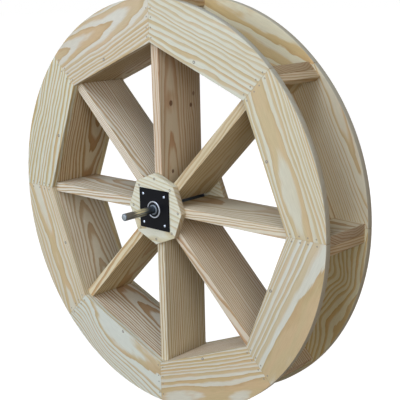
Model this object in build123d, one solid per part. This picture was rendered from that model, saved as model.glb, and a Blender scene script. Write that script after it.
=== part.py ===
from build123d import *
from math import cos, radians, sin
import os

# Wooden water wheel with eight buckets, turning on two sealed bearings on a fixed steel shaft.
# Millimetres. +Z is up, the shaft lies along Y and the origin is the centre of the wheel.
# The front is the -Y side. Angles run anticlockwise seen from the front, from the spoke on +X.

# Wheel
wheel_diameter = 1220
bucket_width = 173
spoke_count = 8

# Rims: mitred boards, straight inside and sawn to the circle outside
rim_board_width = 161
rim_thickness = 19

# Spoke boards, standing on edge between the rims
spoke_thickness = 29
spoke_end_setback = 10
spoke_core_gap = 45

# Sole boards, closing the buckets on the inside
sole_thickness = 25

# Paddle lips: a strip along the outer end of each spoke, on its clockwise face
lip_width = 25
lip_depth = 19
lip_end_setback = 10

# Hub plates
hub_across_flats = 200
hub_thickness = 19

# Bearing plates
bearing_plate_side = 120
bearing_plate_thickness = 4
bearing_plate_corner_radius = 1.5

# Bearings: an outer ring with a shield on both faces, and an inner ring on the shaft
bearing_diameter = 51
bearing_width = 15
bearing_proud = 3
bearing_ring_wall = 3.5
bearing_edge_chamfer = 0.8
shield_thickness = 1.5
shield_recess = 1
inner_ring_diameter = 30
inner_ring_width = 19
seat_clearance = 0.15
running_clearance = 0.3

# Shaft, with a slightly smaller journal at each end for the posts that carry it
shaft_diameter = 22.2
shaft_front_overhang = 124.5
shaft_back_overhang = 71
journal_diameter = 21.8
journal_length = 47
journal_chamfer = 2

# Worked out from the sizes above
wheel_radius = wheel_diameter / 2
pitch_angle = 360 / spoke_count
half_pitch = pitch_angle / 2
sole_inner_apothem = wheel_radius - rim_board_width
sole_outer_apothem = sole_inner_apothem + sole_thickness
rim_face_y = bucket_width / 2 + rim_thickness
hub_face_y = bucket_width / 2 + hub_thickness
plate_face_y = hub_face_y + bearing_plate_thickness
shaft_front_y = -rim_face_y - shaft_front_overhang
shaft_back_y = rim_face_y + shaft_back_overhang


def polar(radius, angle):
    """Point in the wheel's plane at a radius and an angle from +X."""
    return (radius * cos(radians(angle)), radius * sin(radians(angle)))


def cut_board(outline, front_y, back_y):
    """Board between two depths, with its outline drawn in the wheel's plane as seen from the front."""
    face_plane = Plane(origin=(0, back_y, 0), x_dir=(1, 0, 0), z_dir=(0, -1, 0))
    return extrude(face_plane * outline, amount=back_y - front_y)


def at_angle(piece, angle):
    """The piece turned about the shaft, anticlockwise seen from the front."""
    return Rot(0, -angle, 0) * piece


def turned(points):
    """Solid of revolution about the shaft, from points given as radius and depth."""
    section = make_face(Plane.XY * Polyline(*points, close=True))
    return revolve(section, axis=Axis.Y)


def mirrored_to_back(piece):
    """The like piece on the back of the wheel."""
    return mirror(piece, about=Plane.XZ)


def rim_board():
    """One rim board between two mitres: a straight inner edge and an outer edge on the circle."""
    inner_corner_radius = sole_inner_apothem / cos(radians(half_pitch))
    inner_low = polar(inner_corner_radius, -half_pitch)
    inner_high = polar(inner_corner_radius, half_pitch)
    outer_low = polar(wheel_radius, -half_pitch)
    outer_high = polar(wheel_radius, half_pitch)
    straight_edges = Polyline(outer_low, inner_low, inner_high, outer_high)
    sawn_edge = ThreePointArc(outer_high, polar(wheel_radius, 0), outer_low)
    outline = make_face(straight_edges.edges() + [sawn_edge])
    return cut_board(outline, -rim_face_y, -bucket_width / 2)


def spoke_board():
    """Plain board on edge, from just clear of the shaft to just inside the circle."""
    spoke_end = wheel_radius - spoke_end_setback
    length = spoke_end - spoke_core_gap
    return Pos(spoke_core_gap + length / 2, 0, 0) * Box(length, bucket_width, spoke_thickness)


def sole_half_length(apothem):
    """Half the sole board's length at a distance from the shaft, up to the faces of its two spokes."""
    return (apothem * sin(radians(half_pitch)) - spoke_thickness / 2) / cos(radians(half_pitch))


def sole_board():
    """Board across the bucket's foot, its ends bevelled to lie on the spokes."""
    inner_half = sole_half_length(sole_inner_apothem)
    outer_half = sole_half_length(sole_outer_apothem)
    corners = [
        (sole_inner_apothem, -inner_half),
        (sole_outer_apothem, -outer_half),
        (sole_outer_apothem, outer_half),
        (sole_inner_apothem, inner_half),
    ]
    outline = make_face(Polyline(*corners, close=True))
    return cut_board(outline, -bucket_width / 2, bucket_width / 2)


def paddle_lip():
    """Strip on the spoke's clockwise face, flush with its outer end, that helps the bucket hold water."""
    middle_out = wheel_radius - lip_end_setback - lip_depth / 2
    middle_aside = spoke_thickness / 2 + lip_width / 2
    return Pos(middle_out, 0, -middle_aside) * Box(lip_depth, bucket_width, lip_width)


def bearing_bore():
    """Round opening that the bearing sits in."""
    return Circle(bearing_diameter / 2 + seat_clearance)


def hub_plate():
    """Octagonal board over the spokes' inner ends, with its corners on the spokes."""
    corner_radius = hub_across_flats / 2 / cos(radians(half_pitch))
    corners = [polar(corner_radius, pitch_angle * place) for place in range(spoke_count)]
    outline = make_face(Polyline(*corners, close=True)) - bearing_bore()
    return cut_board(outline, -hub_face_y, -bucket_width / 2)


def bearing_plate():
    """Square steel plate on the hub plate."""
    square = RectangleRounded(bearing_plate_side, bearing_plate_side, bearing_plate_corner_radius)
    return cut_board(square - bearing_bore(), -plate_face_y, -hub_face_y)


def bearing_ring():
    """Outer ring with a shield just inside each face, as one turned piece."""
    outside = bearing_diameter / 2
    inside = outside - bearing_ring_wall
    shield_edge = inner_ring_diameter / 2 + running_clearance
    front = -plate_face_y - bearing_proud
    back = front + bearing_width
    front_shield = front + shield_recess
    back_shield = back - shield_recess
    points = [
        (inside, front),
        (outside - bearing_edge_chamfer, front),
        (outside, front + bearing_edge_chamfer),
        (outside, back - bearing_edge_chamfer),
        (outside - bearing_edge_chamfer, back),
        (inside, back),
        (inside, back_shield),
        (shield_edge, back_shield),
        (shield_edge, back_shield - shield_thickness),
        (inside, back_shield - shield_thickness),
        (inside, front_shield + shield_thickness),
        (shield_edge, front_shield + shield_thickness),
        (shield_edge, front_shield),
        (inside, front_shield),
    ]
    return turned(points)


def inner_ring():
    """Inner ring on the shaft, a little wider than the outer ring."""
    outside = inner_ring_diameter / 2
    inside = shaft_diameter / 2 + seat_clearance
    middle = -plate_face_y - bearing_proud + bearing_width / 2
    front = middle - inner_ring_width / 2
    back = middle + inner_ring_width / 2
    points = [
        (inside, front),
        (outside - bearing_edge_chamfer, front),
        (outside, front + bearing_edge_chamfer),
        (outside, back - bearing_edge_chamfer),
        (outside - bearing_edge_chamfer, back),
        (inside, back),
    ]
    return turned(points)


def shaft():
    """Round bar with a stepped-down, chamfered journal at each end; the front end stands out further."""
    shaft_radius = shaft_diameter / 2
    journal_radius = journal_diameter / 2
    tip_radius = journal_radius - journal_chamfer
    front_shoulder = shaft_front_y + journal_length
    back_shoulder = shaft_back_y - journal_length
    points = [
        (0, shaft_front_y),
        (tip_radius, shaft_front_y),
        (journal_radius, shaft_front_y + journal_chamfer),
        (journal_radius, front_shoulder),
        (shaft_radius, front_shoulder),
        (shaft_radius, back_shoulder),
        (journal_radius, back_shoulder),
        (journal_radius, shaft_back_y - journal_chamfer),
        (tip_radius, shaft_back_y),
        (0, shaft_back_y),
    ]
    return turned(points)


pieces = {"shaft": shaft()}

front_rim_board = rim_board()
sides = {
    "front_hub_plate": hub_plate(),
    "front_bearing_plate": bearing_plate(),
    "front_bearing_ring": bearing_ring(),
    "front_inner_ring": inner_ring(),
}
for name, piece in sides.items():
    pieces[name] = piece
    pieces[name.replace("front", "back")] = mirrored_to_back(piece)

for place in range(spoke_count):
    spoke_angle = pitch_angle * place
    bucket_angle = spoke_angle + half_pitch
    number = place + 1
    pieces[f"spoke_{number}"] = at_angle(spoke_board(), spoke_angle)
    pieces[f"paddle_{number}"] = at_angle(paddle_lip(), spoke_angle)
    pieces[f"sole_{number}"] = at_angle(sole_board(), bucket_angle)
    pieces[f"front_rim_{number}"] = at_angle(front_rim_board, bucket_angle)
    pieces[f"back_rim_{number}"] = at_angle(mirrored_to_back(front_rim_board), bucket_angle)

os.makedirs("parts", exist_ok=True)
for name, piece in pieces.items():
    export_step(piece, f"parts/{name}.step")
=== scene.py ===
import math
from collections import namedtuple

import bpy
import numpy as np
from mathutils import Matrix, Vector


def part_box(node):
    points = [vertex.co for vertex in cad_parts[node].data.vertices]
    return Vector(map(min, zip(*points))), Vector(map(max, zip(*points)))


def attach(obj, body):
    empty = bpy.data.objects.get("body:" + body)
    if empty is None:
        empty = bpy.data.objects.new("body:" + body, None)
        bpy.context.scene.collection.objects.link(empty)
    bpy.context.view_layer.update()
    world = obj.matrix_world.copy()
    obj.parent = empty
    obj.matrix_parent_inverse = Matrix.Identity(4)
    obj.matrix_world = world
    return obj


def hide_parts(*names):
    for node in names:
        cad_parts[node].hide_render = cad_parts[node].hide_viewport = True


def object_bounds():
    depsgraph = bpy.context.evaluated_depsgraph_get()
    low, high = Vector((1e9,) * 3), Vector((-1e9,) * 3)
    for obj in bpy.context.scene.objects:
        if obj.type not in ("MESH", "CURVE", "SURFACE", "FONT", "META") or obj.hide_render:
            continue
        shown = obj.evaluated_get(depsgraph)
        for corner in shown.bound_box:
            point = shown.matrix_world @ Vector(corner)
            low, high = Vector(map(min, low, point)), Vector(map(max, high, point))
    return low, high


# Wooden water wheel: pine boards screwed together round a steel shaft. Metres, +Z up, the shaft along Y.
# Angles run anticlockwise seen from the front, the -Y side, from the spoke on +X.
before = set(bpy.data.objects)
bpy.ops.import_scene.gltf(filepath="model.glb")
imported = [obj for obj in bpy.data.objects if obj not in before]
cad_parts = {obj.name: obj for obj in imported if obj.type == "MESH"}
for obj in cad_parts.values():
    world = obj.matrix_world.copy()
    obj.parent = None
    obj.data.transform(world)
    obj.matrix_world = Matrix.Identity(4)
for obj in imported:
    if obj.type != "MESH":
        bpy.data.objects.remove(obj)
cad_low, cad_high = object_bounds()
scene = bpy.context.scene


# Rims
# Each rim is eight pine boards with mitred ends, straight along the inside and sawn to one circle outside.
# They lie on the edges of the spokes, and both boards of a mitre are screwed down into the spoke under it.
eighth = math.tau / 8
rim_low, rim_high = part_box("front_rim_1")
wheel_radius = cad_high.x
rim_inner_corner = rim_low.x / math.cos(eighth)
rim_inner_apothem = rim_inner_corner * math.cos(eighth / 2)
rim_face = -rim_low.y
rim_back = -rim_high.y
arris_ease = 0.0009
corner_steps = 4
arris_steps = 4
land_share = 1.8
sharp_turn = math.radians(50)
sawn_edge_steps = 28


def unit(vectors):
    """Vectors of length one: each divided by its own length."""
    return vectors / np.linalg.norm(vectors, axis=-1, keepdims=True)


def grid_faces(rows, columns, loop=False):
    """Quads of a grid that closes on itself across its columns, and along its rows too where it loops."""
    index = np.arange(rows * columns).reshape(rows, columns)
    if loop:
        index = np.vstack([index, index[:1]])
    near, far = index[:-1], index[1:]
    return np.stack([near, far, np.roll(far, -1, 1), np.roll(near, -1, 1)], 2).reshape(-1, 4).tolist()


def end_faces(rows, columns):
    """The two faces that close the first and the last row of a grid."""
    last = (rows - 1) * columns
    return [list(range(columns)), list(range(last + columns - 1, last - 1, -1))]


def eased_board(corners, front, back, ease, hole=0.0):
    """Board with an outline in the wheel's plane, between two depths, with all its arrises eased.

    Each corner of the outline becomes an arc of twice the ease, about the corner moved in along both edges.
    The outline is carried along a section: in from the front face by the ease times one less the sine of a
    turn, back by the ease times one less its cosine, and the other way round at the back face. With a hole,
    the section goes on to a circle at the same angles and closes through the hole. Gives points, outward
    normals, how near each point is to an arris, and faces.
    """
    run = unit(np.roll(corners, -1, 0) - corners)
    after = run[:, ::-1] * (1, -1)
    before = np.roll(after, 1, 0)
    pull = 2 * ease / (1 + np.sum(before * after, 1, keepdims=True))
    swing = np.linspace(0, 1, corner_steps)[:, None]
    normal = unit(before[:, None] * (1 - swing) + after[:, None] * swing).reshape(-1, 2)
    outline = np.repeat(corners - pull * (before + after), corner_steps, 0) + 2 * ease * normal
    turn = np.linspace(0, math.pi / 2, arris_steps)
    inset = ease * np.r_[land_share, 1 - np.sin(turn)]
    rise = ease * np.r_[0, 1 - np.cos(turn)]
    lean = np.r_[-1, -np.cos(turn)]
    inset = np.r_[inset, inset[::-1]][:, None, None]
    depth = np.r_[front + rise, back - rise[::-1]]
    lean = np.r_[lean, -lean[::-1]]
    flat = outline - inset * normal
    if hole:
        round_hole = hole * unit(outline)[None]
        flat = np.concatenate([round_hole, flat, round_hole])
        depth = np.r_[front, depth, back]
        lean = np.r_[-1, lean, 1]
    rows, columns = flat.shape[:2]
    points = np.stack([flat[..., 0], np.broadcast_to(depth[:, None], (rows, columns)), flat[..., 1]], 2)
    level = np.sqrt(1 - lean**2)[:, None]
    normals = np.stack([level * normal[:, 0], np.repeat(lean[:, None], columns, 1), level * normal[:, 1]], 2)
    arris = np.repeat((np.abs(lean) < 1)[:, None], columns, 1)
    faces = grid_faces(rows, columns, loop=bool(hole))
    if not hole:
        faces += end_faces(rows, columns)
    return points.reshape(-1, 3), normals.reshape(-1, 3), arris.reshape(-1), faces


def new_piece(name, points, faces, material, body, slot, nodes=(), marks=None):
    """Mesh object that moves with a body and stands for the given nodes; its points carry marks."""
    mesh = bpy.data.meshes.new(name)
    mesh.from_pydata(points.tolist(), [], faces)
    mesh.shade_smooth()
    mesh.set_sharp_from_angle(angle=sharp_turn)
    for word, values in (marks or {}).items():
        kind, field = ("FLOAT_VECTOR", "vector") if values.shape[1] == 3 else ("FLOAT_COLOR", "color")
        layer = mesh.attributes.new(word, kind, "POINT")
        layer.data.foreach_set(field, np.ravel(values))
    mesh.materials.append(material)
    piece = bpy.data.objects.new(name, mesh)
    scene.collection.objects.link(piece)
    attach(piece, body)
    if nodes:
        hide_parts(*nodes)
    return piece


# How a board was cut from its log. ring is the width of a year's growth; pith is where the heart lies from
# the board's middle, across its width and through its thickness; lean is how far the heart drifts for each
# metre along; late is the late wood's share of a year; wave is how far the rings wander, in rings; tone is
# how tan the board is; contrast is how strongly the late wood shows; tint is what its colour is multiplied
# by; flat is 2 for round rings and more for flattened ones; ripple is how far rings wander over a short way.
cut_words = "ring pith_across pith_deep lean_across lean_deep late wave tone contrast tint flat ripple"
Cut = namedtuple("Cut", cut_words, defaults=(2.0, 1.0))


def pine_board(name, shape, along, across, middle, cut, material, node, start=0.0, sawn=0.0):
    """A board with its place in the log: along the grain, and across and through from the heart.

    The heart's distance is the board's own distance less the pith's and less the lean times the way along.
    An edge that faces across is marked as sawn, as far as the board says so.
    """
    points, normals, arris, faces = shape
    deep = np.cross(along, across)
    way = (points - middle) @ np.stack([along, across, deep], 1)
    heart = np.array([-start, cut.pith_across, cut.pith_deep])
    drift = np.array([0.0, cut.lean_across, cut.lean_deep])
    log = way - heart - way[:, :1] * drift
    board = np.stack([np.full(len(points), cut.tone), np.abs(normals @ along), arris], 1)
    rings = np.tile((cut.ring, cut.flat, cut.wave), (len(points), 1))
    wood = np.tile((*cut.tint, cut.contrast), (len(points), 1))
    late = np.tile((cut.late, cut.ripple, sawn), (len(points), 1))
    late[:, 2] *= np.maximum(normals @ across, 0)
    marks = {"log": log, "way": way, "board": board, "rings": rings, "wood": wood, "late": late}
    return new_piece(name, points, faces, material, "wheel", "pine", [node], marks)


def feed(tree, node, sockets):
    """Gives each named socket of a node its value, or a link from the socket that feeds it."""
    for word, value in sockets.items():
        if isinstance(value, bpy.types.NodeSocket):
            tree.links.new(value, node.inputs[word])
        else:
            node.inputs[word].default_value = value


def put(tree, kind, sockets=None, **settings):
    """Shader node with its settings, and with its sockets fed."""
    made = tree.nodes.new("ShaderNode" + kind)
    for word, value in settings.items():
        setattr(made, word, value)
    feed(tree, made, sockets or {})
    return made


def calc(tree, operation, *values):
    """Result of one sum on numbers."""
    return put(tree, "Math", dict(enumerate(values)), operation=operation).outputs[0]


def vector_calc(tree, operation, *values):
    """Outputs of one sum on vectors."""
    return put(tree, "VectorMath", dict(enumerate(values)), operation=operation).outputs


def stretch(tree, vector, by):
    """Vector with each part multiplied by its own number."""
    return vector_calc(tree, "MULTIPLY", vector, by)[0]


def scaled(tree, vector, by):
    """Vector multiplied by one number."""
    return put(tree, "VectorMath", {0: vector, "Scale": by}, operation="SCALE").outputs[0]


def noise(tree, vector, detail):
    """Soft noise of unit scale at a vector."""
    return put(tree, "TexNoise", {"Vector": vector, "Scale": 1.0, "Detail": detail}).outputs


def speckle(tree, spread, detail):
    """Soft noise over a piece, by its place in the wheel; a larger spread makes it finer."""
    place = put(tree, "TexCoord").outputs["Object"]
    return noise(tree, stretch(tree, place, spread), detail)[0]


def smooth(tree, value, low, high):
    """Goes smoothly from 0 to 1 as the value goes from low to high, or down where low is the larger."""
    sockets = {"Value": value, "From Min": low, "From Max": high}
    return put(tree, "MapRange", sockets, interpolation_type="SMOOTHSTEP").outputs[0]


def mixed(tree, share, first, second, blend="MIX"):
    """Two colours blended by a share."""
    made = put(tree, "Mix", {0: share, 6: first, 7: second}, data_type="RGBA", blend_type=blend)
    return made.outputs[2]


def multiplied(tree, color, by):
    """Colour with each part multiplied by that of another."""
    return mixed(tree, 1.0, color, by, "MULTIPLY")


def grey(tree, value):
    """Grey of a given lightness."""
    return put(tree, "CombineXYZ", {0: value, 1: value, 2: value}).outputs[0]


def start_group(name, inputs, outputs):
    """Empty shader node group with named sockets: its tree, what it is given and what it puts out."""
    tree = bpy.data.node_groups.new(name, "ShaderNodeTree")
    for direction, sockets in (("INPUT", inputs), ("OUTPUT", outputs)):
        for word, kind in sockets.items():
            tree.interface.new_socket(word, in_out=direction, socket_type="NodeSocket" + kind)
    return tree, tree.nodes.new("NodeGroupInput").outputs, tree.nodes.new("NodeGroupOutput").inputs


def knot_mark():
    """Knot in a board: how far it pushes the rings aside, and how dark its core is.

    The push is one over one plus the fourth power of the distance, in knot radii, drawn out along the grain.
    The core is dark to its edge, with rings of its own.
    """
    core_stretch = (0.8, 1.0, 0.0)
    push_stretch = (0.4, 1.0, 0.0)
    push_share = 0.4
    core_rings = 12.0
    inputs = {"Way": "Vector", "Place": "Vector", "Radius": "Float", "Push": "Float", "Dark": "Float"}
    tree, given, result = start_group("knot_mark", inputs, {"Swell": "Float", "Core": "Float"})
    away = vector_calc(tree, "SUBTRACT", given["Way"], given["Place"])[0]
    near = vector_calc(tree, "LENGTH", stretch(tree, away, core_stretch))["Value"]
    near = calc(tree, "DIVIDE", near, given["Radius"])
    wide = vector_calc(tree, "LENGTH", stretch(tree, away, push_stretch))["Value"]
    wide = calc(tree, "MULTIPLY", calc(tree, "DIVIDE", wide, given["Radius"]), push_share)
    swell = calc(tree, "DIVIDE", given["Push"], calc(tree, "ADD", 1.0, calc(tree, "POWER", wide, 4.0)))
    tree.links.new(swell, result["Swell"])
    rings = calc(tree, "SINE", calc(tree, "MULTIPLY", near, core_rings))
    rings = calc(tree, "MULTIPLY_ADD", rings, 0.15, 0.85)
    core = calc(tree, "MULTIPLY", smooth(tree, near, 1.25, 0.6), rings)
    tree.links.new(calc(tree, "MULTIPLY", core, given["Dark"]), result["Core"])
    return tree


def lift_mark():
    """Hill in the rings, where a limb lies below the surface.

    Its height falls off from the middle as one over one plus the square of the distance, in half widths.
    """
    inputs = {"Way": "Vector", "Place": "Vector", "Spread": "Vector", "Height": "Float"}
    tree, given, result = start_group("lift_mark", inputs, {"Lift": "Float"})
    away = vector_calc(tree, "SUBTRACT", given["Way"], given["Place"])[0]
    away = vector_calc(tree, "DIVIDE", away, given["Spread"])[0]
    square = vector_calc(tree, "DOT_PRODUCT", away, away)["Value"]
    tree.links.new(calc(tree, "DIVIDE", given["Height"], calc(tree, "ADD", square, 1.0)), result["Lift"])
    return tree


def pine_grain():
    """Pine from its place in the log: pale early wood and tan late wood in rings about the heart.

    The place is bent by slow noise, by a finer ripple and by hills, so that the rings wander. The ring count
    is the distance from the heart in rings, by a power that can flatten them, with what a knot adds, a ragged
    edge drawn out along the grain, and uneven years. Its fraction runs through one year, whose end share is
    late wood that starts softly, ends in a dark line and stops short. Late wood is flushed rosy in patches,
    and fibres are fine noise drawn out along the grain. End grain is browner, and a sawn edge is greyed and
    paled, partly its own grey and partly painted bluish light on the outer edges.
    """
    slow_stretch = (3.5, 11.0, 11.0)
    ripple_stretch = (9.0, 25.0, 25.0)
    ragged_stretch = (14.0, 170.0, 170.0)
    fibre_stretch = (35.0, 900.0, 900.0)
    blotch_stretch = (4.0, 14.0, 14.0)
    flush_stretch = (7.0, 30.0, 30.0)
    ragged_reach = 0.22
    uneven_reach = 1.4
    rosy_flush = (1.045, 0.99, 1.01, 1.0)
    line_shade = (0.78, 0.68, 0.54, 1.0)
    end_grain_shade = (0.84, 0.74, 0.70, 1.0)
    sawn_grey_and_painted_light = (0.60, 0.575, 0.465, 1.0)
    handled_arris = (0.32, 0.24, 0.13, 1.0)
    knot_brown = (0.085, 0.018, 0.004, 1.0)
    inputs = {"Log": "Vector", "Board": "Vector", "Rings": "Vector", "Late Share": "Float",
              "Ripple": "Float", "Sawn": "Float", "Tint": "Color", "Contrast": "Float", "Lift": "Float",
              "Swell": "Float", "Core": "Float", "Early": "Color", "Late": "Color"}
    outputs = {"Color": "Color", "Roughness": "Float", "Height": "Float"}
    tree, given, result = start_group("pine_grain", inputs, outputs)
    log = given["Log"]
    tone, end, arris = put(tree, "SeparateXYZ", {0: given["Board"]}).outputs
    ring, flat, wave = put(tree, "SeparateXYZ", {0: given["Rings"]}).outputs

    half = (0.5, 0.5, 0.5)
    slow = noise(tree, stretch(tree, log, slow_stretch), 1.0)["Color"]
    slow = scaled(tree, vector_calc(tree, "SUBTRACT", slow, half)[0], wave)
    fine = noise(tree, stretch(tree, log, ripple_stretch), 2.0)["Color"]
    fine = scaled(tree, vector_calc(tree, "SUBTRACT", fine, half)[0], given["Ripple"])
    lift = put(tree, "CombineXYZ", {1: calc(tree, "MULTIPLY", given["Lift"], -1.0)}).outputs[0]
    count = scaled(tree, log, calc(tree, "DIVIDE", 1.0, ring))
    for wander in (slow, fine, lift):
        count = vector_calc(tree, "ADD", count, wander)[0]
    count = vector_calc(tree, "ABSOLUTE", count)[0]
    aside, through = put(tree, "SeparateXYZ", {0: count}).outputs[1:]
    heart = calc(tree, "ADD", calc(tree, "POWER", aside, flat), calc(tree, "POWER", through, flat))
    heart = calc(tree, "POWER", heart, calc(tree, "DIVIDE", 1.0, flat))
    ragged = calc(tree, "SUBTRACT", noise(tree, stretch(tree, log, ragged_stretch), 4.0)[0], 0.5)
    count = calc(tree, "MULTIPLY_ADD", ragged, ragged_reach, calc(tree, "ADD", heart, given["Swell"]))
    years = {"W": calc(tree, "MULTIPLY", heart, 0.3), "Scale": 1.0, "Detail": 1.0}
    uneven = put(tree, "TexNoise", years, noise_dimensions="1D").outputs[0]
    count = calc(tree, "MULTIPLY_ADD", uneven, uneven_reach, count)

    year = calc(tree, "FRACT", count)
    early_share = calc(tree, "SUBTRACT", 1.0, given["Late Share"])
    start_low = calc(tree, "SUBTRACT", early_share, 0.12)
    start_high = calc(tree, "ADD", early_share, 0.16)
    start = smooth(tree, year, start_low, start_high)
    stop = smooth(tree, year, 1.0, 0.94)
    whole_year = calc(tree, "FLOOR", count)
    lot = put(tree, "TexWhiteNoise", {"W": whole_year}, noise_dimensions="1D").outputs["Value"]
    strength = calc(tree, "MULTIPLY_ADD", lot, 0.35, 0.65)
    late = calc(tree, "MULTIPLY", calc(tree, "MULTIPLY", start, stop), strength)
    late = calc(tree, "MULTIPLY", late, given["Contrast"])
    line = calc(tree, "MULTIPLY", calc(tree, "MULTIPLY", smooth(tree, year, 0.72, 0.97), stop), late)

    fibre = noise(tree, stretch(tree, log, fibre_stretch), 3.0)[0]
    blotch = noise(tree, stretch(tree, log, blotch_stretch), 2.0)[0]
    color = mixed(tree, late, given["Early"], given["Late"])
    wash = calc(tree, "MULTIPLY_ADD", calc(tree, "SUBTRACT", blotch, 0.5), 0.9, tone)
    wash = put(tree, "Clamp", {"Value": wash, "Max": 0.8}).outputs[0]
    color = mixed(tree, wash, color, mixed(tree, 0.5, color, given["Late"]))
    flush = smooth(tree, noise(tree, stretch(tree, log, flush_stretch), 3.0)[0], 0.46, 0.62)
    rosy = multiplied(tree, color, rosy_flush)
    color = mixed(tree, calc(tree, "MULTIPLY", flush, late), color, rosy)
    darker = multiplied(tree, color, line_shade)
    color = mixed(tree, calc(tree, "MULTIPLY", line, 0.55), color, darker)
    color = multiplied(tree, color, given["Tint"])
    color = multiplied(tree, color, grey(tree, calc(tree, "MULTIPLY_ADD", fibre, 0.3, 0.85)))
    cut_across = multiplied(tree, color, end_grain_shade)
    color = mixed(tree, smooth(tree, end, 0.3, 1.0), color, cut_across)
    # Painted light: a sawn edge goes greyer and paler, partly its own grey and partly painted bluish light on
    # the outer edges.
    greyed_and_lit = calc(tree, "MULTIPLY", smooth(tree, given["Sawn"], 0.3, 0.8), 0.75)
    color = mixed(tree, greyed_and_lit, color, sawn_grey_and_painted_light)
    color = mixed(tree, calc(tree, "MULTIPLY", arris, 0.2), color, handled_arris)
    color = mixed(tree, given["Core"], color, knot_brown)

    tree.links.new(color, result["Color"])
    rough = calc(tree, "MULTIPLY_ADD", late, -0.12, calc(tree, "MULTIPLY_ADD", fibre, 0.2, 0.58))
    tree.links.new(rough, result["Roughness"])
    tree.links.new(calc(tree, "MULTIPLY_ADD", late, 0.5, fibre), result["Height"])
    return tree


def start_material(name):
    """Empty material with a Principled shader: its tree and that shader."""
    material = bpy.data.materials.new(name)
    material.use_nodes = True
    tree = material.node_tree
    return material, tree, tree.nodes["Principled BSDF"]


def mark(tree, word, output="Vector"):
    """What the mesh carries under a name."""
    return put(tree, "Attribute", attribute_name=word).outputs[output]


def bumped(tree, height, distance, strength):
    """Normal that follows a height."""
    return put(tree, "Bump", {"Height": height, "Distance": distance, "Strength": strength}).outputs[0]


knot_group = knot_mark()
lift_group = lift_mark()
grain_group = pine_grain()


def pine(name, early, late, knots=(), lifts=()):
    """Bare planed pine, with the shared grain at its own colours.

    A knot is its place along and across, its radius, how many rings it adds and how dark it is. A lift is its
    place, its half widths along and across, and how many rings high it raises the grain.
    """
    material, tree, shader = start_material(name)
    way = mark(tree, "way")
    late_share, ripple, sawn = put(tree, "SeparateXYZ", {0: mark(tree, "late")}).outputs
    sockets = {"Early": early, "Late": late, "Log": mark(tree, "log"), "Board": mark(tree, "board"),
               "Rings": mark(tree, "rings"), "Tint": mark(tree, "wood", "Color"),
               "Contrast": mark(tree, "wood", "Alpha"), "Late Share": late_share, "Ripple": ripple,
               "Sawn": sawn}
    for place, radius, push, dark in knots:
        values = {"Way": way, "Place": (*place, 0.0), "Radius": radius, "Push": push, "Dark": dark}
        knot = put(tree, "Group", values, node_tree=knot_group).outputs
        sockets["Swell"] = calc(tree, "ADD", knot["Swell"], sockets.get("Swell", 0.0))
        sockets["Core"] = calc(tree, "MAXIMUM", knot["Core"], sockets.get("Core", 0.0))
    for place, spread, height in lifts:
        values = {"Way": way, "Place": (*place, 0.0), "Spread": (*spread, 1.0), "Height": height}
        hill = put(tree, "Group", values, node_tree=lift_group).outputs
        sockets["Lift"] = calc(tree, "ADD", hill["Lift"], sockets.get("Lift", 0.0))
    grain = put(tree, "Group", sockets, node_tree=grain_group).outputs
    feed(tree, shader, {"Base Color": grain["Color"], "Roughness": grain["Roughness"],
                        "Normal": bumped(tree, grain["Height"], 0.0003, 0.4), "Specular IOR Level": 0.05})
    return material


rim_early = (0.632, 0.618, 0.484, 1.0)
rim_late = (0.525, 0.397, 0.195, 1.0)
rim_pine = pine("rim_pine", rim_early, rim_late)

# Boards with a figure of their own, by side and number: islands, where a knot without a core pushes the rings
# apart, and waves, where the grain lifts
wave_lifts = [((-0.060, 0.020), (0.045, 0.100), 3.0), ((0.090, -0.020), (0.040, 0.100), -2.5)]
white_island = [((-0.090, -0.030), 0.019, -0.60, 0.0)]
tan_island = [((0.060, 0.0), 0.018, 0.45, 0.0)]
swirl_island = [((0.0, -0.055), 0.024, -0.6, 0.0)]
swirl_lifts = [((-0.035, -0.040), (0.080, 0.110), 4.5), ((-0.170, -0.050), (0.060, 0.090), -3.0)]
two_islands = [((-0.120, 0.045), 0.016, -0.5, 0.0), ((0.115, 0.055), 0.009, -0.5, 0.0)]
figured_pine = {
    ("back", 8): pine("pine_with_waves", rim_early, rim_late, (), wave_lifts),
    ("front", 1): pine("pine_with_white_island", rim_early, rim_late, white_island),
    ("front", 5): pine("pine_with_tan_island", rim_early, rim_late, tan_island),
    ("front", 6): pine("pine_with_swirl", rim_early, rim_late, swirl_island, swirl_lifts),
    ("front", 7): pine("pine_with_two_islands", rim_early, rim_late, two_islands),
}


def polar(radius, angle):
    """Points in the wheel's plane, at radii and angles."""
    return np.stack(np.broadcast_arrays(radius * np.cos(angle), radius * np.sin(angle)), -1)


def radial(angle):
    """Unit vector outwards at an angle."""
    return np.array([math.cos(angle), 0.0, math.sin(angle)])


def tangent(angle):
    """Unit vector anticlockwise at an angle."""
    return np.array([-math.sin(angle), 0.0, math.cos(angle)])


axle_way = np.array([0.0, 1.0, 0.0])

# How far apart along their logs the grain of neighbouring boards is taken
rim_log_step = 1.7

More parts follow.
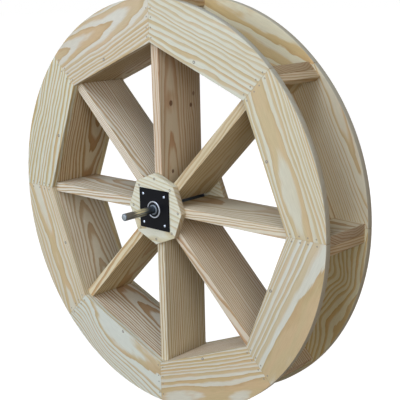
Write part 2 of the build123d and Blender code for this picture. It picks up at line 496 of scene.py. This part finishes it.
# From the board between the right and upper right spokes, anticlockwise
front_rim_cuts = [
    Cut(0.0070, -0.022, 0.0488, 0.0, 0.0, 0.60, 1.2, 0.30, 0.9, (1.0, 1.0, 0.98), flat=3.0),
    Cut(0.0115, -0.165, 0.120, 0.0, 0.02, 0.50, 2.8, 0.15, 0.85, (0.98, 0.98, 0.97)),
    Cut(0.0078, 0.028, 0.070, -0.017, -0.040, 0.60, 1.2, 0.2, 1.0, (1.0, 0.975, 1.0)),
    Cut(0.0125, -0.220, 0.130, -0.055, 0.0, 0.48, 2.4, 0.0, 1.4, (1.03, 1.045, 1.025)),
    Cut(0.0055, 0.002, 0.070, 0.0, 0.0, 0.62, 1.0, 0.38, 0.88, (1.09, 1.075, 1.07), flat=2.2),
    Cut(0.0100, -0.085, 0.0750, 0.12, 0.0, 0.42, 1.0, -0.15, 1.0, (1.06, 1.10, 1.15), flat=4.0),
    Cut(0.0082, 0.040, 0.0658, 0.03, 0.0, 0.60, 0.9, 0.3, 1.1, (1.05, 1.04, 1.05), flat=2.6),
    Cut(0.0042, 0.100, 0.1716, 0.0436, 0.0049, 0.68, 0.7, 0.12, 0.95, (1.0, 1.015, 1.05),
        flat=5.0, ripple=0.5),
]
back_rim_cuts = [
    # Its tint is partly the board's own warm tone and partly painted shade, where the front rim shades its
    # inner face.
    Cut(0.0062, 0.062, 0.055, 0.02, 0.03, 0.36, 1.8, 0.05, 0.9, (1.01, 0.94, 0.86)),
    Cut(0.0170, 0.075, 0.100, 0.0, 0.0, 0.60, 1.2, 0.3, 0.95, (1.13, 1.08, 0.98), ripple=1.5),
    Cut(0.0090, 0.050, 0.080, 0.05, 0.06, 0.55, 1.4, 0.1, 1.0, (1.0, 0.98, 0.98)),
    Cut(0.0110, -0.180, 0.120, 0.04, 0.04, 0.48, 1.4, 0.0, 0.5, (1.28, 1.16, 0.92)),
    Cut(0.0085, 0.030, 0.070, 0.03, 0.05, 0.55, 1.2, 0.0, 0.5, (1.30, 1.18, 0.92)),
    Cut(0.0080, -0.050, 0.075, -0.04, 0.05, 0.45, 1.2, -0.1, 1.0, (1.0, 1.0, 1.0)),
    Cut(0.0110, 0.080, 0.060, 0.05, 0.07, 0.48, 2.8, 0.1, 0.85, (0.88, 0.85, 0.74)),
    Cut(0.0110, 0.085, 0.055, 0.05, 0.06, 0.48, 2.8, 0.05, 0.95, (1.10, 1.045, 0.87)),
]


def rim_outline(angle):
    """Corners of a rim board, anticlockwise: along the circle, then across both mitres and the inner edge."""
    edge = np.linspace(-eighth / 2, eighth / 2, sawn_edge_steps + 1)
    inner = polar(rim_inner_corner, np.array([eighth / 2, -eighth / 2]) + angle)
    return np.concatenate([polar(wheel_radius, edge + angle), inner])


rim_sides = [("front", -rim_face, -rim_back, 1, front_rim_cuts),
             ("back", rim_back, rim_face, -1, back_rim_cuts)]
for place in range(8):
    angle = eighth * (place + 0.5)
    number = place + 1
    rim_middle = radial(angle) * (rim_inner_apothem + wheel_radius) / 2
    for side, near, far, turned_over, side_cuts in rim_sides:
        material = figured_pine.get((side, number), rim_pine)
        shape = eased_board(rim_outline(angle), near, far, arris_ease)
        middle = rim_middle + axle_way * (near + far) / 2
        pine_board(f"{side}_rim_board_{number}", shape, tangent(angle) * turned_over, radial(angle), middle,
                   side_cuts[place], material, f"{side}_rim_{number}", start=place * rim_log_step, sawn=1.0)


# Spokes
# Eight boards on edge between the rims, radial, from just clear of the shaft to just inside the circle.
# Their grain runs outwards, so the outer ends show end grain. The top one has four small knots.
spoke_low, spoke_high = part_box("spoke_1")
spoke_half = spoke_high.z
spoke_side = spoke_high.y
spoke_log_step = 2.3
knotty_place = 2
spoke_early = (0.677, 0.620, 0.450, 1.0)
spoke_late = (0.473, 0.335, 0.175, 1.0)
spoke_pine = pine("spoke_pine", spoke_early, spoke_late)
spoke_knots = [((-0.015, -0.040), 0.0074, 0.5, 0.9), ((-0.029, 0.044), 0.0056, 0.5, 0.9),
               ((-0.217, -0.040), 0.0052, 0.4, 0.9), ((0.004, 0.056), 0.0056, 0.4, 0.6)]
knotty_late = (0.473, 0.290, 0.150, 1.0)
knotty_pine = pine("knotty_pine", spoke_early, knotty_late, spoke_knots)

# From the spoke on the right, anticlockwise
spoke_cuts = [
    Cut(0.0075, 0.030, 0.150, 0.02, 0.04, 0.42, 1.6, 0.0, 1.0, (1.03, 1.01, 1.01)),
    # Its tint is partly the board's own darker tone and partly painted shade for its downward face.
    Cut(0.0075, 0.020, 0.090, 0.02, 0.03, 0.50, 1.2, 0.20, 0.75, (0.94, 0.88, 0.765)),
    Cut(0.0066, -0.036, 0.055, 0.0, 0.03, 0.40, 1.0, 0.0, 0.90, (0.97, 0.885, 0.85)),
    Cut(0.0054, -0.100, 0.080, 0.03, 0.05, 0.50, 1.6, -0.1, 1.5, (1.13, 1.16, 1.28)),
    Cut(0.0070, 0.050, 0.140, 0.02, 0.05, 0.48, 1.4, -0.1, 1.4, (1.08, 1.10, 1.18)),
    Cut(0.0090, 0.030, 0.100, 0.02, 0.03, 0.50, 1.2, 0.15, 1.1, (1.09, 1.04, 0.925)),
    Cut(0.0075, -0.140, 0.060, 0.02, 0.02, 0.45, 0.8, 0.0, 1.25, (1.05, 1.06, 1.05)),
    Cut(0.0070, 0.150, 0.090, 0.02, 0.02, 0.45, 1.4, 0.05, 1.15, (0.99, 0.935, 0.94)),
]


def turned_outline(corners, angle):
    """Corners given outwards and anticlockwise from a spoke's line, turned to its angle."""
    corners = np.array(corners)
    return corners @ np.array([[math.cos(angle), math.sin(angle)], [-math.sin(angle), math.cos(angle)]])


def oblong(inner, outer, low, high):
    """Corners of an oblong, anticlockwise, given outwards and aside."""
    return [(inner, low), (outer, low), (outer, high), (inner, high)]


spoke_corners = oblong(spoke_low.x, spoke_high.x, -spoke_half, spoke_half)
for place, cut in enumerate(spoke_cuts):
    angle = eighth * place
    material = knotty_pine if place == knotty_place else spoke_pine
    shape = eased_board(turned_outline(spoke_corners, angle), -spoke_side, spoke_side, arris_ease)
    middle = radial(angle) * (spoke_low.x + spoke_high.x) / 2
    pine_board(f"spoke_board_{place + 1}", shape, radial(angle), axle_way, middle, cut, material,
               f"spoke_{place + 1}", start=place * spoke_log_step)


# Soles
# A board across the foot of each bucket, flush with the rims' inner edges, its ends bevelled to lie on the
# spokes. A screw through each rim holds it.
sole_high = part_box("sole_1")[1]
sole_outer_apothem = sole_high.x * math.cos(eighth / 2) + spoke_half * math.sin(eighth / 2)
sole_log_step = 1.1
sole_late = (0.398, 0.250, 0.112, 1.0)
sole_pine = pine("sole_pine", spoke_early, sole_late)

# From the board between the right and upper right spokes, anticlockwise
sole_cuts = [
    Cut(0.0080, 0.030, 0.070, 0.02, 0.05, 0.45, 1.4, 0.1, 1.0, (1.0, 0.97, 0.93)),
    Cut(0.0080, -0.050, 0.080, 0.02, 0.04, 0.45, 1.4, 0.1, 1.0, (1.0, 0.96, 0.92)),
    # This board is darkened as painted shade, for the shadowed corner by the top spoke.
    Cut(0.0085, 0.060, 0.070, 0.02, 0.05, 0.45, 1.4, 0.1, 1.1, (0.80, 0.745, 0.675)),
    Cut(0.0090, 0.035, 0.060, 0.02, 0.10, 0.50, 1.6, 0.2, 1.1, (0.97, 0.90, 0.82)),
    Cut(0.0090, 0.000, 0.065, 0.02, -0.10, 0.48, 1.6, 0.0, 0.82, (1.02, 1.02, 1.05)),
    Cut(0.0090, 0.045, 0.060, 0.02, -0.10, 0.48, 1.6, 0.0, 1.2, (1.01, 1.03, 1.12)),
    Cut(0.0080, 0.080, 0.080, 0.02, 0.05, 0.45, 1.4, 0.1, 0.9, (1.03, 0.98, 0.99)),
    Cut(0.0080, -0.020, 0.070, 0.02, 0.05, 0.45, 1.4, 0.1, 1.0, (1.0, 0.98, 0.96)),
]


def sole_half_length(apothem):
    """Half the board's length at a distance from the shaft, up to the spokes' faces."""
    return (apothem * math.sin(eighth / 2) - spoke_half) / math.cos(eighth / 2)


sole_inner_half = sole_half_length(rim_inner_apothem)
sole_outer_half = sole_half_length(sole_outer_apothem)
sole_corners = [(rim_inner_apothem, -sole_inner_half), (sole_outer_apothem, -sole_outer_half),
                (sole_outer_apothem, sole_outer_half), (rim_inner_apothem, sole_inner_half)]
for place in range(8):
    angle = eighth * (place + 0.5)
    shape = eased_board(turned_outline(sole_corners, angle), -spoke_side, spoke_side, arris_ease)
    middle = radial(angle) * (rim_inner_apothem + sole_outer_apothem) / 2
    pine_board(f"sole_board_{place + 1}", shape, tangent(angle), axle_way, middle, sole_cuts[place],
               sole_pine, f"sole_{place + 1}", start=place * sole_log_step)


# Paddle lips
# A pine strip along the outer end of each spoke, on its clockwise face, that helps the bucket hold water.
# It reaches from rim to rim, with its grain along the shaft.
lip_low, lip_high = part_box("paddle_1")
lip_ring = 0.0075
lip_tint = (1.05, 0.92, 0.81)
lip_log_step = 0.9
cut_lots = np.random.default_rng(17)


def cut_by_lot():
    """A lip's cut, with its heart, lean and tone drawn by lot."""
    lot = cut_lots.uniform
    return Cut(lip_ring, lot(-0.06, 0.06), lot(0.05, 0.08), lot(-0.04, 0.04), lot(0.03, 0.08), 0.42, 1.4,
               lot(-0.1, 0.2), 1.0, lip_tint)


lip_corners = oblong(lip_low.x, lip_high.x, lip_low.z, lip_high.z)
for place in range(8):
    angle = eighth * place
    shape = eased_board(turned_outline(lip_corners, angle), -spoke_side, spoke_side, arris_ease)
    middle = radial(angle) * (lip_low.x + lip_high.x) / 2 + tangent(angle) * (lip_low.z + lip_high.z) / 2
    pine_board(f"paddle_lip_{place + 1}", shape, axle_way, radial(angle), middle, cut_by_lot(),
               spoke_pine, f"paddle_{place + 1}", start=place * lip_log_step)


# Hub plates
# An octagonal board over the spokes' inner ends on each side, with its corners on the spokes and a bored hole
# for the bearing, screwed to every spoke.
hub_low, hub_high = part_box("front_hub_plate")
bearing_low, bearing_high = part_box("front_bearing_ring")
bearing_radius = bearing_high.x
hub_early = (0.695, 0.675, 0.515, 1.0)
hub_late = (0.585, 0.510, 0.285, 1.0)
hub_pine = pine("hub_pine", hub_early, hub_late)
hub_cut = Cut(0.0100, -0.070, 0.075, 0.05, 0.08, 0.42, 1.4, -0.2, 0.85, (1.01, 1.01, 1.01))
hub_outline = polar(hub_high.x, eighth * np.arange(8))
hub_grain = math.radians(-12)
hub_sides = [("front", hub_low.y, hub_high.y, 1), ("back", -hub_high.y, -hub_low.y, -1)]
for side, near, far, turned_over in hub_sides:
    shape = eased_board(hub_outline, near, far, arris_ease, bearing_radius)
    middle = axle_way * (near + far) / 2
    pine_board(f"{side}_hub_board", shape, radial(hub_grain) * turned_over, tangent(hub_grain), middle,
               hub_cut, hub_pine, f"{side}_hub_plate")


# Wood screws
# Countersunk deck screws with a square drive, sunk until the fibres stand up round the head: four in a row
# on each side of every mitre, one through each rim board into its sole, and one per spoke at the hub.
screw_columns = 12
drive_rows = 3
mitre_head = 0.0020
hub_head = 0.0034
sole_head = 0.0040
mitre_screw_radii = np.array([0.500, 0.527, 0.554, 0.584])
mitre_screw_offset = 0.0086
mitre_spread_out = 0.004
mitre_spread_aside = 0.0012
hub_screw_radius = 0.093
hub_spread_out = 0.002
hub_spread_turn = 0.02
screw_lots = np.random.default_rng(5)

# Into the soles, from the board between the right and upper right spokes: how far out, and how far round
sole_screw_apothems = np.array([0.462, 0.469, 0.473, 0.469, 0.467, 0.457, 0.460, 0.460])
sole_screw_slips = np.array([0.015, 0.009, 0.017, 0.001, 0.001, 0.010, 0.002, 0.018])

# Head, in head radii and millimetres: the drive's floor and wall, which are square, the flat, the rounded
# edge, and down into the wood. Burr: the raised fibres.
head_units = (1, 0.001)
screw_rows = np.array([(0.12, -1.0), (0.42, -0.9), (0.42, 0.0), (0.85, 0.1), (1.0, 0.0), (1.04, -0.5)])
screw_rows = screw_rows * head_units
burr_rows = np.array([(1.04, -0.4), (1.12, 0.12), (1.25, 0.10), (1.4, -0.1)]) * head_units


def round_rows(rows, square_rows, columns):
    """Shape turned about its own axis, from rows of radius and height; the first few bulge into squares."""
    angle = np.linspace(0, math.tau, columns, endpoint=False)
    square = 1 / np.maximum(np.abs(np.cos(angle)), np.abs(np.sin(angle)))
    bulges = np.arange(len(rows)) < square_rows
    radius = rows[:, :1] * (1 + bulges[:, None] * (square - 1))
    height = np.repeat(rows[:, 1:], columns, 1)
    return np.stack([radius * np.cos(angle), height, radius * np.sin(angle)], 2).reshape(-1, 3)


def set_out(rows, square_rows, columns, places, sizes, turns, outward):
    """Copies of a small turned shape on a face, each with its size and turn; outward is -1 on the front."""
    shape = round_rows(rows, square_rows, columns)
    cos = (np.cos(turns) * sizes)[:, None]
    sin = (np.sin(turns) * sizes)[:, None]
    x = shape[:, 0] * cos - shape[:, 2] * sin
    z = shape[:, 0] * sin + shape[:, 2] * cos
    y = np.broadcast_to(shape[:, 1] * outward, x.shape)
    points = np.stack([x, y, z], 2) + places[:, None]
    quads = np.array(grid_faces(len(rows), columns))
    if outward > 0:
        quads = quads[:, ::-1]
    step = (np.arange(len(places)) * len(shape))[:, None, None]
    return points.reshape(-1, 3), (quads[None] + step).reshape(-1, 4).tolist()


smudge_stretch = (40.0, 40.0, 40.0)


def steel(name, color, roughness, spread, marks_stretch, mark_depth):
    """Bare steel with fine marks drawn out one way, and smudges that spread its roughness."""
    material, tree, shader = start_material(name)
    marks = speckle(tree, marks_stretch, 3.0)
    smudge = speckle(tree, smudge_stretch, 2.0)
    tone = calc(tree, "MULTIPLY_ADD", marks, 0.4, calc(tree, "MULTIPLY_ADD", smudge, 0.4, 0.6))
    color = multiplied(tree, color, grey(tree, tone))
    worn = calc(tree, "MULTIPLY_ADD", smudge, 0.6, calc(tree, "MULTIPLY", marks, 0.4))
    rough = calc(tree, "MULTIPLY_ADD", worn, spread, roughness)
    feed(tree, shader, {"Base Color": color, "Roughness": rough, "Metallic": 1.0,
                        "Normal": bumped(tree, marks, mark_depth, 0.6)})
    return material


def crushed_pine():
    """Torn fibres round a screw, darker than the board."""
    material, tree, shader = start_material("crushed_pine")
    fleck = speckle(tree, (900.0, 900.0, 900.0), 2.0)
    color = mixed(tree, fleck, (0.26, 0.19, 0.10, 1.0), (0.47, 0.38, 0.23, 1.0))
    feed(tree, shader, {"Base Color": color, "Roughness": 0.8})
    return material


screw_steel = steel("screw_steel", (0.21, 0.205, 0.19, 1.0), roughness=0.35, spread=0.3,
                    marks_stretch=(300.0, 300.0, 300.0), mark_depth=0.0001)
crushed = crushed_pine()


def jitter(shape, spread):
    """Small amounts by lot, as hand-driven screws wander."""
    return screw_lots.uniform(-spread, spread, shape)


for side, outward, face in (("front", -1, -rim_face), ("back", 1, rim_face)):
    spoke_angles = eighth * np.arange(8)
    out = mitre_screw_radii + jitter((8, 2, 4), mitre_spread_out)
    off = np.array([-1.0, 1.0])[:, None] * mitre_screw_offset + jitter((8, 2, 4), mitre_spread_aside)
    turn = spoke_angles[:, None, None]
    mitre = polar(out, turn) + polar(off, turn + math.pi / 2)
    bucket_angles = spoke_angles + eighth / 2
    # The back's sole screws are the front's, the other way round
    order = slice(None, None, -outward)
    sole = polar(sole_screw_apothems[order], bucket_angles)
    sole = sole + polar(sole_screw_slips[order], bucket_angles + math.pi / 2)
    hub = polar(hub_screw_radius + jitter(8, hub_spread_out), spoke_angles + jitter(8, hub_spread_turn))
    flat = np.concatenate([mitre.reshape(-1, 2), sole, hub])
    places = np.stack([flat[:, 0], np.full(len(flat), face), flat[:, 1]], 1)
    turns = jitter(len(flat), math.pi)
    sizes = np.repeat([mitre_head, sole_head, hub_head], [mitre.size // 2, len(sole), len(hub)])
    heads = set_out(screw_rows, drive_rows, screw_columns, places, sizes, turns, outward)
    new_piece(f"{side}_wood_screws", *heads, screw_steel, "wheel", "bearing_steel")
    burrs = set_out(burr_rows, 0, screw_columns, places, sizes, turns, outward)
    new_piece(f"{side}_screw_burrs", *burrs, crushed, "wheel", "pine")


# Bearing plates
# A square steel plate with a black powder coat on each hub plate, bored for the bearing and held by four
# bright round-headed screws.
plate_low, plate_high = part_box("front_bearing_plate")
plate_ease = 0.0008
plate_screw_share = 0.72
plate_screw_radius = 0.0042


def black_coat():
    """Black powder coat, satin, with a fine orange peel and faint smudges."""
    material, tree, shader = start_material("black_coat")
    peel = speckle(tree, (450.0, 450.0, 450.0), 1.0)
    smudge = speckle(tree, (28.0, 28.0, 28.0), 3.0)
    color = mixed(tree, smudge, (0.002, 0.0022, 0.003, 1.0), (0.005, 0.0055, 0.007, 1.0))
    rough = calc(tree, "MULTIPLY_ADD", smudge, 0.25, 0.25)
    feed(tree, shader, {"Base Color": color, "Roughness": rough, "Specular IOR Level": 0.07,
                        "Normal": bumped(tree, peel, 0.0002, 0.3)})
    return material


plate_coat = black_coat()
plate_outline = plate_high.x * np.array([(1, -1), (1, 1), (-1, 1), (-1, -1)], float)
zinc = steel("zinc_screws", (0.46, 0.51, 0.57, 1.0), roughness=0.15, spread=0.2,
             marks_stretch=(200.0, 200.0, 200.0), mark_depth=0.00005)
dome_height = 0.0028
dome_columns = 28
dome_turn_spread = 1.5

# Dome, in screw radii and dome heights: the drive's floor and wall, the round, and down into the plate
dome_rows = np.array([(0.12, 0.3), (0.36, 0.35), (0.40, 0.88), (0.62, 0.84), (0.82, 0.66), (0.95, 0.38),
                      (1.0, 0.1), (1.0, -0.1)]) * (1, dome_height)
plate_sides = [("front", plate_low.y, plate_high.y, -1), ("back", -plate_high.y, -plate_low.y, 1)]
for side, near, far, outward in plate_sides:
    points, normals, arris, faces = eased_board(plate_outline, near, far, plate_ease, bearing_radius)
    new_piece(f"{side}_plate", points, faces, plate_coat, "wheel", "black_plate", [f"{side}_bearing_plate"])
    corners = plate_outline * plate_screw_share
    places = np.stack([corners[:, 0], np.full(4, -outward * plate_low.y), corners[:, 1]], 1)
    sizes = np.full(4, plate_screw_radius)
    turns = jitter(4, dome_turn_spread)
    domes = set_out(dome_rows, drive_rows, dome_columns, places, sizes, turns, outward)
    new_piece(f"{side}_plate_screws", *domes, zinc, "wheel", "bearing_steel")


# Bearings
# A sealed ball bearing in each plate: a ground outer ring that stands a little proud, black rubber shields on
# both faces, and an inner ring on the shaft. The outer ring turns with the wheel.
inner_low, inner_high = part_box("front_inner_ring")
shaft_low, shaft_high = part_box("shaft")
shaft_radius = shaft_high.x
ring_wall = 0.0035
ring_chamfer = 0.0008
shield_gap = 0.0003
shield_depth = 0.0010
shield_ease = 0.0004
shield_edge = 0.0008
inner_bead = 0.0022
outer_bead = 0.0009
outer_slope = 0.0005
groove_depth = 0.0006
turned_columns = 96


def lathe(radius, depth):
    """Points turned about the shaft, from rows of radius and depth."""
    angle = np.linspace(0, math.tau, turned_columns, endpoint=False)
    radius = radius[:, None]
    parts = np.broadcast_arrays(radius * np.cos(angle), depth[:, None], radius * np.sin(angle))
    return np.stack(parts, 2).reshape(-1, 3)


def turned_section(profile, side):
    """Closed section turned about the shaft, from points of radius and depth; side is 1 at the front."""
    radius, depth = np.array(profile).T
    faces = grid_faces(len(radius), turned_columns, loop=True)
    if side < 0:
        faces = [face[::-1] for face in faces]
    return lathe(radius, depth * side), faces


def rubber():
    """Black moulded rubber, slightly dusty."""
    material, tree, shader = start_material("shield_rubber")
    dust = speckle(tree, (300.0, 300.0, 300.0), 3.0)
    color = mixed(tree, dust, (0.004, 0.005, 0.006, 1.0), (0.010, 0.011, 0.012, 1.0))
    rough = calc(tree, "MULTIPLY_ADD", dust, 0.3, 0.45)
    feed(tree, shader, {"Base Color": color, "Roughness": rough, "Specular IOR Level": 0.1})
    return material


ground = {"spread": 0.2, "marks_stretch": (60.0, 2500.0, 60.0), "mark_depth": 0.00004}
ring_steel = steel("ring_steel", (0.37, 0.39, 0.42, 1.0), roughness=0.32, **ground)
race_steel = steel("race_steel", (0.13, 0.15, 0.17, 1.0), roughness=0.42, **ground)
shield_rubber = rubber()
ring_front, ring_back = bearing_low.y, bearing_high.y
inner_front, inner_back = inner_low.y, inner_high.y
ring_inside = bearing_radius - ring_wall
race_radius = inner_high.x
shield_inside = race_radius + shield_gap
shield_face = ring_front + shield_depth
shield_back = ring_back - shield_depth
groove_floor = shield_face + groove_depth
outer_profile = [
    (ring_inside, ring_back - ring_chamfer),
    (ring_inside, ring_front + ring_chamfer / 2),
    (ring_inside + ring_chamfer / 2, ring_front),
    (bearing_radius - ring_chamfer, ring_front),
    (bearing_radius, ring_front + ring_chamfer),
    (bearing_radius, ring_back - ring_chamfer),
    (bearing_radius - ring_chamfer, ring_back),
    (ring_inside + ring_chamfer, ring_back),
]

# A raised bead along both edges of the shield, and a wide groove between them
shield_profile = [
    (shield_inside, shield_back),
    (shield_inside, shield_face + shield_ease),
    (shield_inside + shield_edge, shield_face),
    (shield_inside + inner_bead, shield_face),
    (shield_inside + inner_bead + groove_depth, groove_floor),
    (ring_inside - outer_bead - outer_slope, groove_floor),
    (ring_inside - outer_bead, shield_face),
    (ring_inside, shield_face),
    (ring_inside, shield_back),
]
inner_profile = [
    (shaft_radius, inner_back),
    (shaft_radius, inner_front),
    (race_radius - ring_chamfer, inner_front),
    (race_radius, inner_front + ring_chamfer),
    (race_radius, inner_back - ring_chamfer),
    (race_radius - ring_chamfer, inner_back),
]
for side, sign in (("front", 1), ("back", -1)):
    ring = turned_section(outer_profile, sign)
    shield = turned_section(shield_profile, sign)
    race = turned_section(inner_profile, sign)
    new_piece(f"{side}_outer_ring", *ring, ring_steel, "wheel", "bearing_steel", [f"{side}_bearing_ring"])
    new_piece(f"{side}_shield", *shield, shield_rubber, "wheel", "bearing_steel")
    new_piece(f"{side}_race", *race, race_steel, "axle", "bearing_steel", [f"{side}_inner_ring"])


# Shaft
# Drawn steel bar, held still by its ends while the wheel turns on it. Each end is turned down a little for
# the post that carries it, which leaves fine rings. Near the ends it is painted brown-grey, as a painted
# reflection of dark surroundings, and the ends' chamfers are dark.
journal_radius = 0.0109
journal_length = 0.047
journal_chamfer = 0.002
ring_pitch = 0.0016
ring_depth = 0.00004
shaft_front, shaft_back = shaft_low.y, shaft_high.y
ring_way = np.linspace(journal_chamfer, journal_length, 4 * int(journal_length / ring_pitch))
ring_wall_radius = journal_radius - ring_depth * (0.5 - 0.5 * np.cos(math.tau * ring_way / ring_pitch))
shoulder_ease = 0.0004


def shaft_points():
    """Turned bar: chamfer, ringed journal and shoulder, and the same the other way round at the back."""
    end_radius = np.r_[journal_radius - journal_chamfer, journal_radius - ring_depth, ring_wall_radius,
                       shaft_radius - ring_depth, shaft_radius]
    end_way = np.r_[0, journal_chamfer, ring_way, journal_length, journal_length + shoulder_ease]
    radius = np.r_[end_radius, end_radius[::-1]]
    depth = np.r_[shaft_front + end_way, shaft_back - end_way[::-1]]
    faces = grid_faces(len(radius), turned_columns) + end_faces(len(radius), turned_columns)
    return lathe(radius, depth), faces


def bar_steel():
    """Drawn bar with painted reflections: gold between dull streaks, dark by the bearings, brown-grey at its
    ends.

    The gold is a painted reflection of the pale hub boards, the dark by the bearings a painted reflection of
    the black plates, and the brown-grey at the ends a painted reflection of dark surroundings. Its underside
    is darker, as painted shade, its chamfers dark and its end faces grey. How far a point is from the nearer
    end of the bar, and from its bearing, says which of them it is. The brown-grey and the dark by the
    bearings run out in streaks.
    """
    hub_reflection_shades = ((0.72, 0.66, 0.43, 1.0), (0.98, 0.91, 0.64, 1.0))
    plate_reflection_shades = ((0.10, 0.125, 0.15, 1.0), (0.18, 0.205, 0.23, 1.0))
    end_reflection_shades = ((0.13, 0.125, 0.11, 1.0), (0.22, 0.205, 0.18, 1.0))
    dull_grey = (0.15, 0.18, 0.21, 1.0)
    painted_underside_shade = (0.28, 0.29, 0.30, 1.0)
    chamfer_grey = (0.07, 0.08, 0.09, 1.0)
    end_grey = (0.23, 0.255, 0.26, 1.0)
    material, tree, shader = start_material("bar_steel")
    place = put(tree, "TexCoord").outputs["Object"]
    along, up = put(tree, "SeparateXYZ", {0: place}).outputs[1:]
    from_front = calc(tree, "SUBTRACT", along, shaft_front)
    from_back = calc(tree, "SUBTRACT", shaft_back, along)
    from_end = calc(tree, "MINIMUM", from_front, from_back)
    drawn = speckle(tree, (700.0, 6.0, 700.0), 3.0)
    smudge = speckle(tree, smudge_stretch, 2.0)
    streak = calc(tree, "MULTIPLY", calc(tree, "SUBTRACT", drawn, 0.5), 0.06)
    # Where the painted reflection of dark surroundings lies: near the ends, running out in streaks.
    painted_end_reflection = smooth(tree, calc(tree, "ADD", from_end, streak), 0.046, 0.034)
    faced = smooth(tree, from_end, 0.0002, 0.0001)
    to_bearing = calc(tree, "SUBTRACT", calc(tree, "ABSOLUTE", along), -inner_front)
    # Where the painted reflection of the black plates lies: beside the bearings, running out in streaks.
    painted_plate_reflection = smooth(tree, calc(tree, "ADD", to_bearing, streak), 0.044, 0.022)
    dull = smooth(tree, speckle(tree, (240.0, 5.0, 240.0), 2.0), 0.53, 0.63)
    # Painted reflection: gold for the pale hub boards, broken by dull streaks.
    color = mixed(tree, dull, mixed(tree, drawn, *hub_reflection_shades), dull_grey)
    # Painted reflection: dark beside the bearings, for the black plates.
    color = mixed(tree, painted_plate_reflection, color, mixed(tree, smudge, *plate_reflection_shades))
    # Painted reflection: brown-grey near the ends, for dark surroundings.
    color = mixed(tree, painted_end_reflection, color, mixed(tree, drawn, *end_reflection_shades))
    # Painted shade: darker towards the underside.
    color = mixed(tree, smooth(tree, up, 0.003, -0.008), color, multiplied(tree, color, painted_underside_shade))
    color = mixed(tree, smooth(tree, from_end, 0.0030, 0.0020), color, chamfer_grey)
    color = mixed(tree, faced, color, end_grey)
    rough = calc(tree, "MULTIPLY_ADD", faced, 0.2, calc(tree, "MULTIPLY_ADD", smudge, 0.2, 0.28))
    feed(tree, shader, {"Base Color": color, "Roughness": rough, "Metallic": 1.0,
                        "Normal": bumped(tree, drawn, 0.00002, 0.3)})
    return material


new_piece("shaft_bar", *shaft_points(), bar_steel(), "axle", "shaft_steel", ["shaft"])


# Studio
# A plain floor well below the wheel and a surround, both white to the eye, that throw a little warm light.
# Four soft lamps stand in front, above, at the side and behind.
floor_height = -0.78
floor_reach = 40.0
floor_glow_share = 0.85


def white_to_eye(tree):
    """1 for what the camera sees, straight, mirrored or through glass; 0 for light that falls on things."""
    path = put(tree, "LightPath").outputs
    seen = calc(tree, "MAXIMUM", path["Is Camera Ray"], path["Is Glossy Ray"])
    return calc(tree, "MAXIMUM", seen, path["Is Transmission Ray"])


floor_mesh = bpy.data.meshes.new("floor")
floor_square = np.array([(-1, -1, 0), (1, -1, 0), (1, 1, 0), (-1, 1, 0)], float)
floor_corners = floor_reach * floor_square + (0, 0, floor_height)
floor_mesh.from_pydata(floor_corners.tolist(), [], [(0, 1, 2, 3)])
floor = bpy.data.objects.new("floor", floor_mesh)
scene.collection.objects.link(floor)
floor_paint, tree, shader = start_material("floor_paint")
seen = white_to_eye(tree)
color = mixed(tree, seen, (0.13, 0.085, 0.036, 1.0), (0.9, 0.9, 0.9, 1.0))
feed(tree, shader, {"Base Color": color, "Roughness": 0.9})
glow = put(tree, "Emission", {"Color": (1.0, 1.0, 1.0, 1.0), "Strength": 1.2})
glow_share = calc(tree, "MULTIPLY", seen, floor_glow_share)
blend = put(tree, "MixShader", {0: glow_share, 1: shader.outputs[0], 2: glow.outputs[0]})
tree.links.new(blend.outputs[0], tree.nodes["Material Output"].inputs["Surface"])
floor_mesh.materials.append(floor_paint)

world = bpy.data.worlds.new("surround")
world.use_nodes = True
scene.world = world
tree = world.node_tree
sky = tree.nodes["Background"]
feed(tree, sky, {"Color": (1.0, 0.72, 0.42, 1.0), "Strength": 0.015})
white = put(tree, "Background", {"Color": (1.0, 1.0, 1.0, 1.0), "Strength": 1.0})
blend = put(tree, "MixShader", {0: white_to_eye(tree), 1: sky.outputs[0], 2: white.outputs[0]})
tree.links.new(blend.outputs[0], tree.nodes["World Output"].inputs["Surface"])


def soft_lamp(name, place, width, height, power, color):
    """Lamp as wide and high as given, facing the wheel's centre."""
    lamp = bpy.data.lights.new(name, "AREA")
    lamp.shape = "RECTANGLE"
    lamp.size = width
    lamp.size_y = height
    lamp.energy = power
    lamp.color = color
    held = bpy.data.objects.new(name, lamp)
    held.location = place
    held.rotation_euler = (-Vector(place)).to_track_quat("-Z", "Y").to_euler()
    scene.collection.objects.link(held)


soft_lamp("front_lamp", (-0.6, -4.2, 1.3), 5.6, 2.4, 165.0, (0.762, 0.83, 1.0))
soft_lamp("top_lamp", (0.3, -2.3, 3.9), 2.6, 2.6, 122.0, (0.721, 0.817, 1.0))
soft_lamp("side_lamp", (3.6, -2.4, 1.1), 2.0, 2.0, 60.0, (0.93, 0.905, 0.92))
soft_lamp("back_lamp", (-0.4, 5.2, 0.2), 0.8, 0.5, 180.0, (0.85, 0.89, 1.0))

# Camera, at the place that gives the rims the outlines they have in the photograph
camera_place = Vector((1.8576, -1.9016, 0.6399))
camera_azimuth = math.radians(43.006)
camera_elevation = math.radians(13.408)
camera_roll = math.radians(-1.332)
camera_data = bpy.data.cameras.new("camera")
camera_data.lens = 81.156
camera_data.sensor_width = 36.0
camera = bpy.data.objects.new("camera", camera_data)
level = math.cos(camera_elevation)
forward = Vector((-math.sin(camera_azimuth) * level, math.cos(camera_azimuth) * level,
                  -math.sin(camera_elevation)))
right = Vector((math.cos(camera_azimuth), math.sin(camera_azimuth), 0.0))
upright = right.cross(forward)
rolled_right = right * math.cos(camera_roll) + upright * math.sin(camera_roll)
rolled_up = rolled_right.cross(forward)
turn = Matrix((rolled_right, rolled_up, -forward)).transposed()
camera.matrix_world = Matrix.Translation(camera_place) @ turn.to_4x4()
scene.collection.objects.link(camera)
scene.camera = camera
scene.view_settings.view_transform = "Standard"
